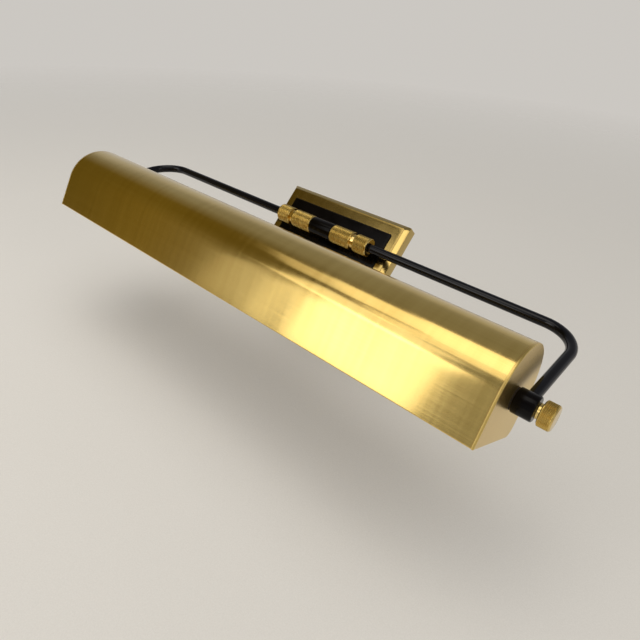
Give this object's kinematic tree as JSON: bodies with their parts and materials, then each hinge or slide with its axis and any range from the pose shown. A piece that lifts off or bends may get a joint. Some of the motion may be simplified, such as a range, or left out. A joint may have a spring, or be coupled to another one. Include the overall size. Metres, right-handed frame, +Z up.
{
  "type": "picture light",
  "caption": "Wall-mounted picture light: brass trough shade with lamps on a black U-shaped tube arm, tilting at a rectangular backplate and at its end hubs.",
  "frame": {"origin": "centre of the backplate's wall face", "axes": "+X along the shade, +Y into the wall, +Z up"},
  "size_m": [0.653, 0.1617, 0.1761],
  "materials": {
    "satin_brass": "satin brushed, clear lacquered",
    "knurled_brass": "fine straight and diamond knurl, polished ends",
    "black_gloss": "gloss black lacquer",
    "black_satin": "satin black powder coat",
    "zinc_steel": "bright zinc plate",
    "white_enamel": "white stove enamel",
    "white_aluminium": "white coated sheet",
    "white_plastic": "moulded",
    "porcelain": "white glaze",
    "lamp_glass": "clear",
    "filament": "phosphor coated rods",
    "nickel": "nickel plated",
    "cable": "black insulation",
    "earth_cable": "green insulation",
    "fibre": "pressed fibre"
  },
  "bodies": {
    "bracket": {"backplate_canopy": "satin_brass", "mounting_plate": "zinc_steel", "inset_plate": "black_satin", "centre_block": "black_satin", "post_nut": "zinc_steel", "canopy_grub_top": "zinc_steel", "canopy_grub_bottom": "zinc_steel", "terminal_block": "white_plastic", "earth_screw": "satin_brass", "earth_lead": "earth_cable", "supply_lead": "cable", "sleeve_left": "knurled_brass", "sleeve_right": "knurled_brass", "collet_left": "nickel", "collet_right": "nickel"},
    "left_collar": {"clamp_collar_left": "knurled_brass"},
    "right_collar": {"clamp_collar_right": "knurled_brass"},
    "arm": {"arm_tube": "black_gloss", "hub_left": "black_satin", "hub_right": "black_satin", "arm_lead": "cable"},
    "shade": {"shade_shell": "satin_brass", "end_cap_left": "satin_brass", "end_cap_right": "satin_brass", "pivot_nipple_left": "satin_brass", "pivot_nipple_right": "satin_brass", "nipple_nut_left": "zinc_steel", "nipple_nut_right": "zinc_steel", "holder_bracket_left": "zinc_steel", "holder_bracket_right": "zinc_steel", "holder_screw_left": "zinc_steel", "holder_screw_right": "zinc_steel", "bracket_screw_left": "zinc_steel", "bracket_screw_right": "zinc_steel", "lamp_channel": "white_enamel", "reflector": "white_aluminium", "lead_clip_left": "white_plastic", "lead_clip_right": "white_plastic", "lampholder_left": "porcelain", "lampholder_right": "porcelain", "lamp_glass_left": "lamp_glass", "lamp_glass_right": "lamp_glass", "lamp_filament_left": "filament", "lamp_filament_right": "filament", "lamp_cap_left": "nickel", "lamp_cap_right": "nickel", "reflector_spacer_left": "nickel", "reflector_spacer_right": "nickel", "shade_lead_left": "cable", "shade_lead_right": "cable", "friction_washer_left": "fibre", "friction_washer_right": "fibre"},
    "left_knob": {"thumb_knob_left": "knurled_brass"},
    "right_knob": {"thumb_knob_right": "knurled_brass"}
  },
  "joints": [
    {"name": "arm_tilt", "type": "hinge", "parent": "bracket", "child": "arm", "pos_m": [0, -0.034, 0], "axis": [1, 0, 0], "range_deg": [-115, 25]},
    {"name": "shade_tilt", "type": "hinge", "parent": "arm", "child": "shade", "pos_m": [0, -0.11673, -0.08273], "axis": [1, 0, 0], "range_deg": [-90, 75]},
    {"name": "left_collar_turn", "type": "hinge", "parent": "bracket", "child": "left_collar", "pos_m": [-0.06, -0.034, 0], "axis": [-1, 0, 0], "range_deg": [0, 540]},
    {"name": "right_collar_turn", "type": "hinge", "parent": "bracket", "child": "right_collar", "pos_m": [0.06, -0.034, 0], "axis": [1, 0, 0], "range_deg": [0, 540]},
    {"name": "left_knob_turn", "type": "hinge", "parent": "shade", "child": "left_knob", "pos_m": [-0.32, -0.11673, -0.08273], "axis": [-1, 0, 0], "range_deg": [0, 540]},
    {"name": "right_knob_turn", "type": "hinge", "parent": "shade", "child": "right_knob", "pos_m": [0.32, -0.11673, -0.08273], "axis": [1, 0, 0], "range_deg": [0, 540]}
  ]
}
